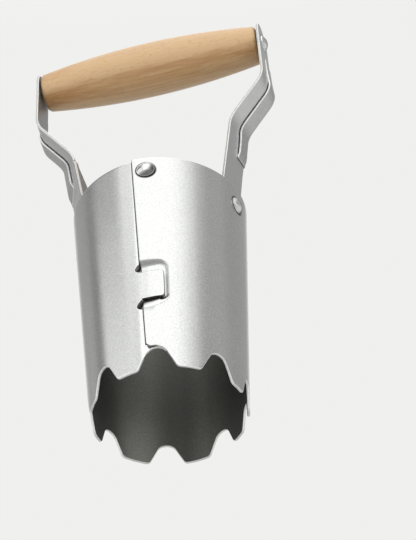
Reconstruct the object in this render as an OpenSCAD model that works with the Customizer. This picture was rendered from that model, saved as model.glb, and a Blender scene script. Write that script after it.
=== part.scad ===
// Hand bulb planter: rolled sheet tube with a toothed foot, two bent straps and a turning wooden grip.
// Millimetres. +Z up along the tube, -Y is the seam side, X runs along the grip. z = 0 at the tooth tips.
// Azimuths are in degrees from -Y toward +X.

/* [Tube] */
// Height of the tube over the teeth
tube_height = 109; // [90:1:140]
// Outer radius of the tube at the foot
foot_radius = 31.6; // [25:0.1:40]
// Outer radius of the tube at the top rim
top_radius = 38; // [30:0.1:50]
// Thickness of the rolled sheet
sheet = 1; // [0.8:0.1:1.5]
// Depth of the gullets between the teeth
gullet_depth = 9.8; // [6:0.1:14]

/* [Seam] */
// How much wider the lapping end of the sheet is curved
lap_rise = 4; // [3.8:0.1:5]
// Azimuth where the lapping end leaves the round
lap_start = 45; // [40:1:60]
// Lean of the seam edge at the top rim, along X
seam_lean = -2.07; // [-4:0.01:4]
// Height of the middle of the tongue
tongue_z = 40.1; // [30:0.1:60]
// Width of the tongue along the tube
tongue_width = 13.6; // [8:0.1:20]
// Radius of the relief notches beside the tongue
notch_radius = 2.7; // [1.5:0.1:4]

/* [Straps] */
// Thickness of the strap sheet
strap_sheet = 1.3; // [1:0.1:2]
// Width of the straps
strap_width = 18; // [12:0.5:24]
// Offset of the handle plane toward the seam side
handle_y = -3.8; // [-8:0.1:0]
// Height of the upper bend
bend_z = 177; // [160:1:190]

/* [Grip] */
// Height of the grip axis
grip_z = 208.9; // [190:0.1:230]
// Half length of the wooden grip
grip_half = 53.1; // [40:0.1:60]
// Radius of the grip at its middle
grip_mid_radius = 12.9; // [10:0.1:16]
// Radius of the grip at its ends
grip_end_radius = 8.9; // [7:0.1:12]
// Radius of the rod in the grip
rod_radius = 2.5; // [2:0.1:4]

/* [Output] */
// Which piece to show

/* [Hidden] */
$fn = 72;
slope = (top_radius - foot_radius) / tube_height;
wall_tilt = atan(slope);
// Gullets: [azimuth of the middle, half width along the foot in mm]
gullets = [[-38.3, 7.7], [6.3, 7.7], [50.8, 7.6], [89.3, 5.8], [116.2, 4.9], [150.8, 7.0],
           [196.8, 7.4], [243.3, 7.1], [281, 7.0]];
tab_dip = 0.45;
tab_end = 13;
tongue_az = 7.4;
tongue_end = 14.8;
side_z = 99;
seam_rivet_az = 5.6;
seam_rivet_z = 102;
right_az = 75.5;
left_az = -95;
bore_radius = rod_radius + 0.05;

function out_r(z) = foot_radius + slope * z;
function az_xy(a) = [sin(a), -cos(a)];
function unit(v) = v / norm(v);
// x and z of the line shared by two planes, each [point, normal], at a given y
function meet(p, m, q, n, y) =
  let (a = m * p - m[1] * y, b = n * q - n[1] * y, d = m[0] * n[2] - m[2] * n[0])
  [(a * n[2] - b * m[2]) / d, y, (m[0] * b - n[0] * a) / d];

// Plain solids

module wedge(a0, a1, r = 90, z0 = -5, z1 = 140)
  translate([0, 0, z0]) linear_extrude(height = z1 - z0)
    polygon(concat([[0, 0]], [for (i = [0:8]) r * az_xy(a0 + (a1 - a0) * i / 8)]));

// Conical shell with the tube's slope: d moves its outer face, t is its thickness
module shell(d, t, z0, z1)
  rotate_extrude()
    polygon([[out_r(z0) + d - t, z0], [out_r(z0) + d, z0], [out_r(z1) + d, z1], [out_r(z1) + d - t, z1]]);

// Stands children on the tube wall: X along the wall, Y up the wall, Z outwards, at azimuth a and height z
module on_wall(a, z, d = 0)
  rotate([0, 0, a]) translate([0, -out_r(z) - d, z]) rotate([90 - wall_tilt, 0, 0]) children();

// A flat plate from its outer face's corners, t thick, on the side away from the normal
module plate(pts, out, t) {
  w = -unit(out);
  u = unit((pts[1] - pts[0]) - ((pts[1] - pts[0]) * w) * w);
  v = cross(w, u);
  translate(pts[0]) rotate([atan2(v[2], w[2]), -asin(u[2]), atan2(u[1], u[0])])
    linear_extrude(height = t) polygon([for (p = pts) [(p - pts[0]) * u, (p - pts[0]) * v]]);
}

// Tube

// Points of an arc: centre, radius, from angle a to angle b in n steps
function arc(c, r, a, b, n) = [for (i = [0:n]) let (t = a + (b - a) * i / n) c + r * [cos(t), sin(t)]];

// Gullet with straight flanks between a round top and round tooth corners
module gullet(c) {
  r2 = c[1] > 6.5 ? 2 : 1.6;
  r1 = c[1] * 0.65;
  cz = gullet_depth - r1;
  n = atan2(r2 - cz, c[1]) + acos((r1 + r2) / norm([c[1], r2 - cz]));
  rotate([0, 0, c[0]]) translate([0, -28, 0]) rotate([90, 0, 0]) linear_extrude(height = 10)
    polygon(concat([[c[1], -3]], arc([c[1], r2], r2, 270, 180 + n, 4), arc([0, cz], r1, n, 180 - n, 8),
                   arc([-c[1], r2], r2, -n, -90, 4), [[-c[1], -3]]));
}

// Right of the seam edge, which leans a little
module seam_side()
  rotate([90, 0, 0]) linear_extrude(height = 60)
    polygon([[seam_lean * -5 / tube_height, -5], [60, -5], [60, 120],
             [seam_lean * 120 / tube_height, 120]]);

// Pressed pocket: cut is the hollow, and the other form is the hollow with a wall round it
module pocket(cut) {
  a = cut ? 0 : 1.9;
  b = cut ? 0 : 1.2;
  low = cut ? -1.4 : -2.4;
  k = (low + 1.4) / 2.6;
  on_wall(tongue_az, tongue_z) intersection() {
    rotate([90, 0, 90]) translate([0, 0, -9]) linear_extrude(height = 18)
      polygon([[-8 - 3.9 * k - a, low], [8.5 + 4.6 * k + a, low], [13.8 + a, 1.6], [-12.5 - a, 1.6]]);
    rotate([-90, 0, 0]) translate([0, 0, -17]) linear_extrude(height = 34)
      polygon([[-9, -low], [4.9 + 1.7 * k + b, -low], [6.86 + b, -1.6], [-9, -1.6]]);
  }
}

module right_end() {
  shift = lap_rise * az_xy(lap_start + 180);
  difference() {
    intersection() {
      union() {
        translate([shift[0], shift[1], 0]) shell(lap_rise, sheet, 0, tube_height - 0.1);
        intersection() {
          pocket(false);
          translate([shift[0], shift[1], 0]) shell(lap_rise, 20, 0, tube_height - 0.1);
        }
      }
      wedge(-20, lap_start);
      seam_side();
    }
    pocket(true);
    // flat cut of the lapping corner over the first gullet
    rotate([90, 0, 0]) translate([-3, -1, 20]) linear_extrude(height = 30)
      union() {
        square([6.6, 12]);
        square([8.2, 10]);
        translate([6.6, 10.4]) circle(r = 1.6);
      }
  }
}

module tube() color([0.72, 0.73, 0.73]) difference() {
  union() {
    // the round of the sheet, and its left edge under the seam
    difference() {
      shell(0, sheet, 0, tube_height);
      wedge(0.6, lap_start);
    }
    // lapped tab, let in by a small joggle, with a gap for the tongue
    intersection() {
      shell(-tab_dip, sheet, 0, tube_height);
      wedge(-1, tab_end);
      union() {
        translate([-10, -50, -1]) cube([40, 60, 29.3]);
        translate([-10, -50, 52.5]) cube([40, 60, 60]);
      }
    }
    // tongue
    intersection() {
      shell(0, sheet, 0, tube_height);
      wedge(-0.5, tongue_end);
      on_wall(tongue_az, tongue_z, -3) linear_extrude(height = 6) union() {
        translate([-8, -tongue_width / 2]) square([12.7 - 1.6, tongue_width]);
        translate([-8, -tongue_width / 2 + 1.6]) square([14, tongue_width - 3.2]);
        for (s = [-1, 1]) translate([2.67, s * (tongue_width / 2 - 1.6)]) circle(r = 1.6);
      }
    }
    right_end();
  }
  for (c = gullets) gullet(c);
  // relief notches in the left edge only: the lapping edge covers their other half
  for (z = [49.2, 30.9]) intersection() {
    on_wall(0.1, z, -3) cylinder(r = notch_radius, h = 3.1);
    difference() {
      wedge(-12, 12);
      translate([0, 0, -1]) right_keep();
    }
  }
  on_wall(seam_rivet_az, seam_rivet_z, -5) cylinder(r = 2, h = 10);
  on_wall(right_az, side_z, -5) cylinder(r = 2, h = 10);
  on_wall(left_az, side_z, -5) cylinder(r = 2, h = 10);
}

// Space of the lapping end, so that the notches leave it whole
module right_keep() {
  shift = lap_rise * az_xy(lap_start + 180);
  intersection() {
    translate([shift[0], shift[1], 0]) shell(lap_rise + 1, sheet + 1.2, 0, tube_height + 4);
    translate([0, 0, 1]) seam_side();
  }
}

// Rivets

module dome(r, h) intersection() {
  translate([0, 0, h - (r * r + h * h) / (2 * h)]) sphere(r = (r * r + h * h) / (2 * h));
  cylinder(r = r, h = h + 1);
}

// Shank from depth in to the seat, with a rim and a dome outside, and a flat clenched head inside
module rivet(depth) {
  translate([0, 0, -depth]) cylinder(r = 2.02, h = depth + 0.3);
  translate([0, 0, -0.35]) cylinder(r = 4, h = 0.75);
  translate([0, 0, 0.4]) dome(3.7, 1.7);
  translate([0, 0, -depth - 0.8]) cylinder(r = 3.2, h = 0.95);
}

module seam_rivet() color([0.8, 0.8, 0.8])
  on_wall(seam_rivet_az, seam_rivet_z, 0.9) rivet(2.4);
module right_rivet() color([0.8, 0.8, 0.8])
  on_wall(right_az, side_z, 0) rivet(2.5);
module left_rivet() color([0.8, 0.8, 0.8])
  on_wall(left_az, side_z, 0) rivet(2.5);

// Straps, both drawn at +X: s is the side, and the left one is mirrored

top_near = 54.8;
top_far = 55.7;
near_y = handle_y - strap_width / 2;
far_y = handle_y + strap_width / 2;
top_out = unit(cross([top_far - top_near, strap_width, 0], [0, 0, 1]));
// diagonal run: through the upper bend and down at this rise per mm inward
run_dir = [-17.7, 0, -25.8];
run_out = unit(cross([top_far - top_near, strap_width, 0], -run_dir));

// foot chord azimuths at the rim: [near, far]
function foot_az(s) = s > 0 ? [62, 90] : [52, 80];
function foot_pt(s, i) =
  let (r = out_r(tube_height) - sheet - 0.05, a = foot_az(s)[i])
  [r * sin(a), -r * cos(a), tube_height];
// lower run plane: through the foot chord and a point of the lower bend
function low_pt(s) = s > 0 ? [38, near_y, 151.5] : [36.8, near_y, 152.4];
function low_out(s) =
  let (n = unit(cross(foot_pt(s, 1) - foot_pt(s, 0), low_pt(s) - foot_pt(s, 0)))) n[0] > 0 ? n : -n;
top_p = [(top_near + top_far) / 2, handle_y, bend_z];
function bend2(s, y) = meet(top_p, run_out, foot_pt(s, 0), low_out(s), y);
// a point down the lower run, along the edge from the bend to the rim, at height z
function down(s, i, z) =
  let (p = bend2(s, i == 0 ? near_y : far_y), q = foot_pt(s, i), k = (p[2] - z) / (p[2] - q[2]))
  p + k * (q - p);

// Mitre planes of the bends: each holds the bend line and halves its angle
bend1_line = unit([top_far - top_near, strap_width, 0]);
mitre1 = unit(cross(bend1_line, unit(top_out + run_out)));
function bend2_line(s) = unit(bend2(s, far_y) - bend2(s, near_y));
function mitre2(s) = unit(cross(bend2_line(s), unit(run_out + low_out(s))));
// Side of the lower run: holds the mitred corner at p and points to q on the rim
function low_side(s, p, q) =
  let (n = unit(cross(cross(mitre2(s), [0, 1, 0]), q - p))) n[1] > 0 ? n : -n;

// A slab from t below the plane through p to d above it, on the side of its normal n
module slab(p, n, t, d = 0)
  translate(p) rotate([0, acos(n[2]), atan2(n[1], n[0])]) translate([-60, -60, -t]) cube([120, 120, t + d]);

// All that lies beyond the plane through p, on the side of n
module beyond(p, n)
  translate(p) rotate([0, acos(n[2]), atan2(n[1], n[0])]) translate([-90, -90, 0]) cube(180);

// The three runs between y0 and y1 on the bend lines, t thick and d proud of the outer faces
module runs(s, y0, y1, t, d, z_top, z_low) {
  o3 = low_out(s);
  m1 = mitre1[2] > 0 ? mitre1 : -mitre1;
  m2 = mitre2(s)[2] > 0 ? mitre2(s) : -mitre2(s);
  p2 = bend2(s, handle_y);
  // share of the width from the near to the far edge
  k0 = (y0 - near_y) / strap_width;
  k1 = (y1 - near_y) / strap_width;
  rim = foot_pt(s, 1) - foot_pt(s, 0);
  difference() {
    slab(top_p, top_out, t, d);
    beyond(top_p, -m1);
    beyond([50, y0, 160], [0, -1, 0]);
    beyond([50, y1, 160], [0, 1, 0]);
    beyond([0, 0, z_top], [0, 0, 1]);
  }
  difference() {
    slab(top_p, run_out, t, d);
    beyond(top_p, m1);
    beyond(p2, -m2);
    beyond([50, y0, 160], [0, -1, 0]);
    beyond([50, y1, 160], [0, 1, 0]);
  }
  difference() {
    slab(p2, o3, t, d);
    beyond(p2, m2);
    beyond(bend2(s, y0), -low_side(s, bend2(s, y0), foot_pt(s, 0) + k0 * rim));
    beyond(bend2(s, y1), low_side(s, bend2(s, y1), foot_pt(s, 0) + k1 * rim));
    beyond([0, 0, z_low], [0, 0, -1]);
  }
}

module strap(s) difference() {
  union() {
    // sheet of the strap, with a round top
    intersection() {
      runs(s, near_y, far_y, strap_sheet, 0, 230, 104);
      translate([20, handle_y, 0]) rotate([90, 0, 90]) linear_extrude(height = 40) union() {
        translate([-30, 95]) square([60, 117]);
        translate([0, 212]) circle(r = strap_width / 2);
      }
    }
    // folded hem: a second layer on the outer face, over the far half
    difference() {
      runs(s, handle_y, far_y - 0.3, 0.2, 1.1, 193, 110);
      beyond(hem_end(s), unit([0.2, -0.55, -1]));
    }
    // foot: follows the inside of the wall
    intersection() {
      shell(-sheet - 0.05, strap_sheet, 87, tube_height - 0.6);
      wedge(foot_az(s)[0], s > 0 ? 91 : 107);
    }
    if (s < 0) gusset();
  }
  translate([40, handle_y, grip_z]) rotate([0, 90, 0]) cylinder(r = rod_radius, h = 30);
  on_wall(s > 0 ? right_az : -left_az, side_z, -5) cylinder(r = 2, h = 8);
}

// Lower corner of the hem on the far edge
function hem_end(s) = down(s, 1, s > 0 ? 126 : 119);

// Inward flange along the near edge of the left foot
module gusset() {
  o3 = low_out(-1);
  a = down(-1, 0, 147);
  b = down(-1, 0, 104);
  w = unit(cross(unit(b - a), o3));
  n = w[1] < 0 ? w : -w;
  plate([a - 0.5 * o3 - 0.2 * n, b - 0.5 * o3 - 0.2 * n, b - 6.6 * o3 - 0.2 * n, a - 1.4 * o3 - 0.2 * n],
        n, strap_sheet);
}

module right_strap() color([0.7, 0.71, 0.71]) strap(1);
module left_strap() color([0.7, 0.71, 0.71]) mirror([1, 0, 0]) strap(-1);

// Grip and rod

grip_arc = (grip_half * grip_half + pow(grip_mid_radius - grip_end_radius, 2))
           / (2 * (grip_mid_radius - grip_end_radius));

module grip() color([0.8, 0.62, 0.42])
  translate([0, handle_y, grip_z]) rotate([0, 90, 0]) difference() {
    rotate_extrude() intersection() {
      translate([grip_mid_radius - grip_arc, 0]) circle(r = grip_arc, $fn = 720);
      union() {
        translate([0, -grip_half]) square([grip_end_radius - 0.8, 2 * grip_half]);
        translate([0, -grip_half + 0.9]) square([20, 2 * grip_half - 1.8]);
        for (e = [-1, 1]) translate([grip_end_radius - 0.9, e * (grip_half - 0.9)]) circle(r = 0.9);
      }
    }
    translate([0, 0, -60]) cylinder(r = bore_radius, h = 120);
  }

module grip_rod() color([0.8, 0.8, 0.8])
  translate([0, handle_y, grip_z]) rotate([0, 90, 0]) {
    translate([0, 0, -56]) cylinder(r = rod_radius, h = 112);
    for (e = [0, 180]) rotate([e, 0, 0]) translate([0, 0, 54.85]) {
      cylinder(r = 4, h = 0.95);
      translate([0, 0, 0.95]) dome(3.8, 1.7);
    }
  }

tube();
seam_rivet();
left_strap();
right_strap();
left_rivet();
right_rivet();
grip();
grip_rod();
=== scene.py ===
from math import acos, asin, atan2, cos, degrees, hypot, pi, radians, sin, sqrt
import bpy
from mathutils import Matrix, Vector


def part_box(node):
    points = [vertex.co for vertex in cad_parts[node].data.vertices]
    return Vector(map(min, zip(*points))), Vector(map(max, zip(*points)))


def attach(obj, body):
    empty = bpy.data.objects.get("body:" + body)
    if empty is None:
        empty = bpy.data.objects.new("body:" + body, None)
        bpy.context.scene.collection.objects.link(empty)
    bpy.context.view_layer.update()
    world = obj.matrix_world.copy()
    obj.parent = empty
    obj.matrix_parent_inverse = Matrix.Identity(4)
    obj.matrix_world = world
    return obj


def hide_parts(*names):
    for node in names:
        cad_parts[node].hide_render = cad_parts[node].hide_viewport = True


# Hand bulb planter, dressed over its CAD frame. Lengths are millimetres, but metres in shaders and in
# finished meshes. Azimuths are degrees round the tube, from -Y (the seam) toward +X.
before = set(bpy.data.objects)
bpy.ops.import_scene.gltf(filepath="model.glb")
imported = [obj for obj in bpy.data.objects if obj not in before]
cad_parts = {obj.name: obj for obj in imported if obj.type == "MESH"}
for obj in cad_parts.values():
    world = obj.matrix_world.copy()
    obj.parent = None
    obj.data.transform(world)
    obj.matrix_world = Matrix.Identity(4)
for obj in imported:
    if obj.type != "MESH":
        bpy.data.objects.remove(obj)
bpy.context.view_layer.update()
MM = 0.001

# Sizes of the tube

tube_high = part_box("tube")[1]
TUBE_HEIGHT = tube_high[2] / MM
TOP_RADIUS = tube_high[0] / MM
FOOT_RADIUS = 31.6
SHEET = 1.0
SLOPE = (TOP_RADIUS - FOOT_RADIUS) / TUBE_HEIGHT
WALL_TILT = atan2(TOP_RADIUS - FOOT_RADIUS, TUBE_HEIGHT)

# Gullets round the foot: azimuth of the middle, and half width. They are uneven, as on the real one.
GULLETS = [(6.3, 9.0), (51.6, 8.9), (89.3, 6.8), (116.2, 5.7), (150.8, 8.2), (196.8, 8.7), (244.8, 8.0),
           (281.0, 8.2), (322.6, 8.5)]
GULLET_DEPTH = 9.8
GULLET_ROUND = 0.49     # radius of a gullet's round top, over its half width
WIDE_GULLET = 7         # half width from which the teeth beside it have the rounder corner
TOOTH_CORNER = 2.0
NARROW_CORNER = 1.6
FIRST_LEVEL = 13.0      # rows of the blank below this follow the teeth

LAP_RISE = 4.0          # how much wider the lapping end of the sheet is curved
LAP_START = 45.0        # azimuth where it leaves the round
LAP_EVEN = 22           # azimuth up to which its columns are even and start at the seam
LAP_FOOT = 10.0         # height of its lower edge over the first gullet
LAP_CORNER = 1.8        # rounding of that edge at the seam
LAP_FLAT = 3.6          # where the edge's flat ends
LAP_SWEEP = 1.6         # rounding from there down to the gullet
SEAM_LEAN = -2.07       # lean of the seam's edge at the rim
SEAM_SHADE = 0.62       # width of the shaded strip along it
NEAR_EDGE = 347.0       # azimuth from which the columns follow the notches

TONGUE_LOW = 34.2
TONGUE_HIGH = 47.7
TONGUE_REACH = 13.9     # in degrees
TONGUE_RISE = 0.5       # how far its end stands proud
TONGUE_CORNER = 1.6
TAB_START = 359.85      # azimuth from which it is spread, just short of the edge
TAB_REACH = 13          # in degrees, how far the edge goes on under the lap
TAB_DIP = 0.45          # how far it is let in
TAB_SUNK = 2.55         # how far it is let in beside the tongue, behind the pocket
NOTCH = 2.65            # half height of the relief notches beside the tongue
NOTCH_DEPTH = 2.85      # about how far they reach into the edge
NOTCH_DROOP = 0.45      # how much deeper they are low down than high up
LOW_NOTCH = TONGUE_LOW - 2 * NOTCH
HIGH_NOTCH = TONGUE_HIGH + 2 * NOTCH

POCKET_RIGHT = 10.7     # round the tube from the seam
POCKET_TOP = 53.4
POCKET_LOW = 28.3
POCKET_LIFT = 2.2       # how much its lower side climbs to the right
POCKET_CORNER = 4.6
POCKET_SIDE_SLOPE = 2.0
POCKET_TOP_SLOPE = 2.8
POCKET_LOW_SLOPE = 6.0
POCKET_END = 15         # azimuth of its right side, near the tongue's end
POCKET_FLOOR = (1.12, 0.62)     # how far in its floor lies, at the seam and at its right side

# Sizes of the straps. The right one is drawn at +X, and so is the left one before it is mirrored.

RIGHT, LEFT = 1, -1
GRIP_Y, GRIP_Z = -3.8, 208.9
STRAP_SHEET = 1.3
STRAP_WIDTH = 18.0
NEAR_Y = GRIP_Y - STRAP_WIDTH / 2
FAR_Y = GRIP_Y + STRAP_WIDTH / 2
TOP_NEAR, TOP_FAR = 54.8, 55.7              # x of the upper run at its near and far edge
TOP_ROUND_Z = {RIGHT: 210.5, LEFT: 209.0}   # middle of the round top
BEND_Z = 177.0                              # upper bend
RUN_WAY = Vector((17.7, 0, 25.8))           # way up the run between the bends
LOW_BEND = {RIGHT: (38, 151.5), LEFT: (36.8, 152.4)}    # x and z of the lower bend's near end
FAR_DROP = {RIGHT: 4.2, LEFT: 0}            # how much further down that bend's far end lies
FOOT_SPAN = {RIGHT: (62.5, 87.5), LEFT: (52, 80)}       # azimuths of the foot at the rim
BEND_REACH = (0, 5.2, 5.0)                  # how far each bend's rounding reaches along the runs
HEM_ZONE = (112, 200)                       # heights between which the hem lies
HEM_NARROWING = {RIGHT: 0.15, LEFT: 0}      # share of its width that the hem loses on its way down
HEM_LIFT = {RIGHT: -0.25, LEFT: -0.85}      # how it lies at its lower end, where 1 is its full height
FLANGE_TURN = radians(38)
FLANGE_ROOT = 0.15

# Sizes of the grip, the rod and the rivets

GRIP_HALF = 53.1        # half its length
GRIP_MID, GRIP_END = 12.9, 8.9      # radii
GRIP_EASING = 2.3       # how far from its ends the barrel starts to round off
ROD = 2.5               # radius
ROD_SEAT = 54.85        # where the rod's heads begin
ROD_HEADS = [(x, GRIP_Y, GRIP_Z) for x in (-55.2, 55.2)]
HEAD = 4.0              # radius
# Name, azimuth, height, how far proud of the wall it sits, and the depth of its shank
RIVETS = [("seam_rivet", 5.6, 102, 0.9, 2.4), ("right_rivet", 75.5, 99, 0.0, 2.5),
          ("left_rivet", -95, 99, 0.0, 2.5)]
# Painted highlights of the two heads in front, with painted shade away from them: azimuth, height, and how
# far proud of the wall
PAINTED_HIGHLIGHTS = [(2.6, 104.0, 2.1), (71.3, 98.1, 1.2)]
HIGHLIGHT_SHADE_REACH = (3.7, 5.3)       # how far from the spot a head's painted shade starts, and where it is full


def steps(a, b, n):
    """n + 1 values from a to b."""
    return [a + (b - a) * i / n for i in range(n + 1)]


def mix(a, b, k):
    return a + (b - a) * k


def ease(a, b, x):
    """0 at a, 1 at b, with soft ends."""
    k = min(max((x - a) / (b - a), 0.0), 1.0)
    return k * k * (3 - 2 * k)


def round_off(r, d):
    """How much a corner of radius r takes away at distance d along it."""
    return r - sqrt(max(r * r - d * d, 0))


def radius(z):
    """Outer radius of the tube at a height."""
    return FOOT_RADIUS + SLOPE * z


def facing(azimuth, r=1.0, z=0.0):
    """The point at an azimuth, a distance from the axis and a height."""
    a = radians(azimuth)
    return Vector((r * sin(a), -r * cos(a), z))


# Shaders


class Wire:
    """A socket that arithmetic works on: each operation adds a node."""

    def __init__(self, tree, socket):
        self.tree = tree
        self.socket = socket

    def __add__(self, other):
        return reckon("ADD", self, other)

    def __radd__(self, other):
        return reckon("ADD", other, self)

    def __sub__(self, other):
        return reckon("SUBTRACT", self, other)

    def __rsub__(self, other):
        return reckon("SUBTRACT", other, self)

    def __mul__(self, other):
        return reckon("MULTIPLY", self, other)

    def __rmul__(self, other):
        return reckon("MULTIPLY", other, self)

    def __truediv__(self, other):
        return reckon("DIVIDE", self, other)

    def __rtruediv__(self, other):
        return reckon("DIVIDE", other, self)

    def __abs__(self):
        return reckon("ABSOLUTE", self)

    def least(self, other):
        return reckon("MINIMUM", self, other)

    def most(self, other):
        return reckon("MAXIMUM", self, other)

    def between(self, a, b, low=0.0, high=1.0):
        """low where this is at a, high where it is at b, with soft ends."""
        return node(self.tree, "ShaderNodeMapRange", 0, {"interpolation_type": "SMOOTHSTEP"},
                    {0: self, 1: a, 2: b, 3: low, 4: high})

    def parts(self):
        """Its x, y and z."""
        split = node(self.tree, "ShaderNodeSeparateXYZ", 0, {}, {0: self}).socket.node
        return [Wire(self.tree, out) for out in split.outputs]

    def with_vector(self, how, vector, out=0):
        return node(self.tree, "ShaderNodeVectorMath", out, {"operation": how}, {0: self, 1: vector})

    def scaled(self, *factors):
        return self.with_vector("MULTIPLY", factors)

    def shifted(self, *way):
        return self.with_vector("ADD", way)

    def away_from(self, spot):
        """Distance of a place from a spot given in millimetres."""
        return self.with_vector("DISTANCE", Vector(spot) * MM, out=1)


def join(tree, slot, value):
    """Gives a socket a wire, or a value filled up to the socket's own length."""
    if isinstance(value, Wire):
        tree.links.new(value.socket, slot)
    elif hasattr(slot.default_value, "__len__") and len(slot.default_value) > len(value):
        slot.default_value = (*value, 1)
    else:
        slot.default_value = value


def node(tree, kind, out=0, settings=None, sockets=None):
    """Any node: its settings first, then the values or wires of its sockets, by name or number."""
    made = tree.nodes.new(kind)
    for key, value in (settings or {}).items():
        setattr(made, key, value)
    for key, value in (sockets or {}).items():
        join(tree, made.inputs[key], value)
    return Wire(tree, made.outputs[out])


def reckon(how, *values):
    """A Math node on wires and numbers, with one wire among them at least."""
    tree = next(v.tree for v in values if isinstance(v, Wire))
    return node(tree, "ShaderNodeMath", 0, {"operation": how}, dict(enumerate(values)))


def blended(tree, factor, a, b):
    """Colour a where the factor is 0, and b where it is 1."""
    return node(tree, "ShaderNodeMix", 2, {"data_type": "RGBA"}, {0: factor, 6: a, 7: b})


def noise(place, scale, detail=3.0, rough=0.5, seed=0.0):
    """Noise of about 1/scale metres, around 0.5. The seed moves it to another place."""
    spot = place.shifted(seed, seed * 0.7, -seed) if seed else place
    return node(place.tree, "ShaderNodeTexNoise", 0, {},
                {"Vector": spot, "Scale": scale, "Detail": detail, "Roughness": rough})


def marked(tree, name):
    """A mark that the mesh carries on its vertices."""
    return node(tree, "ShaderNodeAttribute", 2, {"attribute_name": name})


def facing_away(tree):
    """0 where the surface looks at the viewer, 1 at its outline."""
    return node(tree, "ShaderNodeLayerWeight", 1, {}, {"Blend": 0.5})


def azimuth_from(x, y, middle):
    """Azimuth of a direction as an angle from a middle one, in degrees."""
    s = sin(radians(middle))
    c = cos(radians(middle))
    return reckon("ARCTAN2", x * c + y * s, x * s - y * c) * (180 / pi)


def bumped(height, strength, distance):
    return node(height.tree, "ShaderNodeBump", 0, {},
                {"Strength": strength, "Distance": distance, "Height": height})


def finish_of(name, build):
    """A material whose shader sockets come from build(tree, place), with place the Object coordinates."""
    made = bpy.data.materials.new(name)
    made.use_nodes = True
    tree = made.node_tree
    shader = next(n for n in tree.nodes if n.type == "BSDF_PRINCIPLED")
    place = node(tree, "ShaderNodeTexCoord", 3)
    for key, value in build(tree, place).items():
        join(tree, shader.inputs[key], value)
    return made


# Finishes

BLACK = (0, 0, 0)
METAL_TINT = (0.988, 1.0, 0.998)
DULL_TINT = (0.985, 1.0, 0.92)
HEAD_SHADOW_RING = (0.2, 0.9)         # how far past a head its painted contact shadow starts to fade, and where it ends
BEECH_PALE = (0.650, 0.428, 0.232)
BEECH_DEEP = (0.440, 0.220, 0.078)
BEECH_FLECK = (0.340, 0.160, 0.060)
BEECH_GRAZING_SHEEN = (0.90, 0.80, 0.66)
BEECH_END_SHADE = (0.10, 0.055, 0.025)
GRAIN_SHIFT = 13                # moves the wood's figure along the grip


def zinc(grey, rough, grain=1.0, heads=()):
    """Zinc-plated sheet: pale grey, satin, speckled, faintly cloudy, with painted contact shadow round the
    rivet heads and painted shade in the pocket's slopes.
    """
    def build(tree, place):
        speckle = noise(place, 2600, 2, 0.6)
        fine = noise(place, 1150, 2, 0.5, 3.1)
        cloud = noise(place, 45, 3, 0.55, 1.7)
        grey_here = grey + (speckle - 0.5) * (0.38 * grain) + (fine - 0.5) * (0.17 * grain)
        # Painted shade in the pocket's slopes, from the mark the tube's vertices carry.
        tone = (grey_here + (cloud - 0.5) * 0.05) * (1 - marked(tree, "pressed") * 0.62)
        # Painted contact shadow round each head, down to 0.06 of the tone next to it.
        inner, outer = [(HEAD + d) * MM for d in HEAD_SHADOW_RING]
        for spot in heads:
            tone = tone * place.away_from(spot).between(inner, outer, 0.06, 1.0)
        return {
            "Base Color": blended(tree, tone, BLACK, METAL_TINT),
            "Metallic": 1.0,
            "Roughness": rough + (speckle - 0.5) * (0.16 * grain) + (cloud - 0.5) * 0.07,
            "Normal": bumped(speckle + fine * 0.7, 0.30 * grain, 0.00006),
        }
    return build


def inside_shade_and_light(tree, place):
    """The dull inside of the tube with a fine tooth: its dark tone is painted shade, and painted light makes
    it paler in bands at its back and near its foot.
    """
    speckle = noise(place, 1500, 3, 0.6)
    cloud = noise(place, 30, 3, 0.5, 2.3)
    x, y, z = place.parts()

    def off(azimuth):
        return abs(azimuth_from(x, y, azimuth))

    # Painted light: two paler bands at the back, and paler near the foot.
    wide_light_band = off(187).between(4, 22, 0.0, 0.6) * off(195).between(60, 25)
    clear_light_band = off(221).between(22, 2) * z.between(0.050, 0.015, 0.35, 1.0)
    painted_light = (0.70 + wide_light_band + clear_light_band) * z.between(0.030, 0.006, 1.0, 1.3)
    tone = (0.139 + (speckle - 0.5) * 0.15 + (cloud - 0.5) * 0.04) * painted_light
    return {
        "Base Color": blended(tree, tone, BLACK, DULL_TINT),
        "Metallic": 0.5,
        "Roughness": 0.5 + (speckle - 0.5) * 0.15,
        "Normal": bumped(speckle, 0.2, 0.00005),
    }


def drag_lines(place, scale):
    """Fine lines that the shear leaves in a cut edge."""
    return noise(place.scaled(1, 1, 0.25), scale, 2, 0.6)


def sheared_edge(tree, place):
    """Bright sheared edge of the sheet, with fine drag lines."""
    drag = drag_lines(place, 1800)
    return {
        "Base Color": blended(tree, drag.between(0.2, 0.8), (0.78, 0.78, 0.77), (0.93, 0.93, 0.92)),
        "Metallic": 0.35,
        "Roughness": drag.between(0.1, 0.9, 0.26, 0.42),
    }


def hem_cut(tree, place):
    """The hem's sheared edge, with painted shadow along the side that lies on the strap."""
    drag = drag_lines(place, 1800)
    tone = drag.between(0.2, 0.8, 0.80, 0.94) * marked(tree, "crease").between(0.50, 0.80, 1.0, 0.05)
    return {
        "Base Color": blended(tree, tone, BLACK, METAL_TINT),
        "Metallic": 0.35,
        "Roughness": drag.between(0.1, 0.9, 0.26, 0.42),
    }


def grey_cut(tree, place):
    """The flat of a cut edge: grey and a little rough."""
    drag = drag_lines(place, 1600)
    return {
        "Base Color": blended(tree, drag.between(0.2, 0.8), (0.40, 0.40, 0.39), (0.56, 0.56, 0.55)),
        "Metallic": 1.0,
        "Roughness": drag.between(0.1, 0.9, 0.36, 0.5),
    }


def flange_shade(tree, place):
    """A dark, dull zinc: painted shade for the flange."""
    speckle = noise(place, 1500, 2, 0.6)
    return {
        "Base Color": blended(tree, speckle.between(0.2, 0.8), (0.17, 0.17, 0.165), (0.27, 0.27, 0.26)),
        "Metallic": 0.3,
        "Roughness": speckle.between(0.1, 0.9, 0.45, 0.6),
    }


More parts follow.
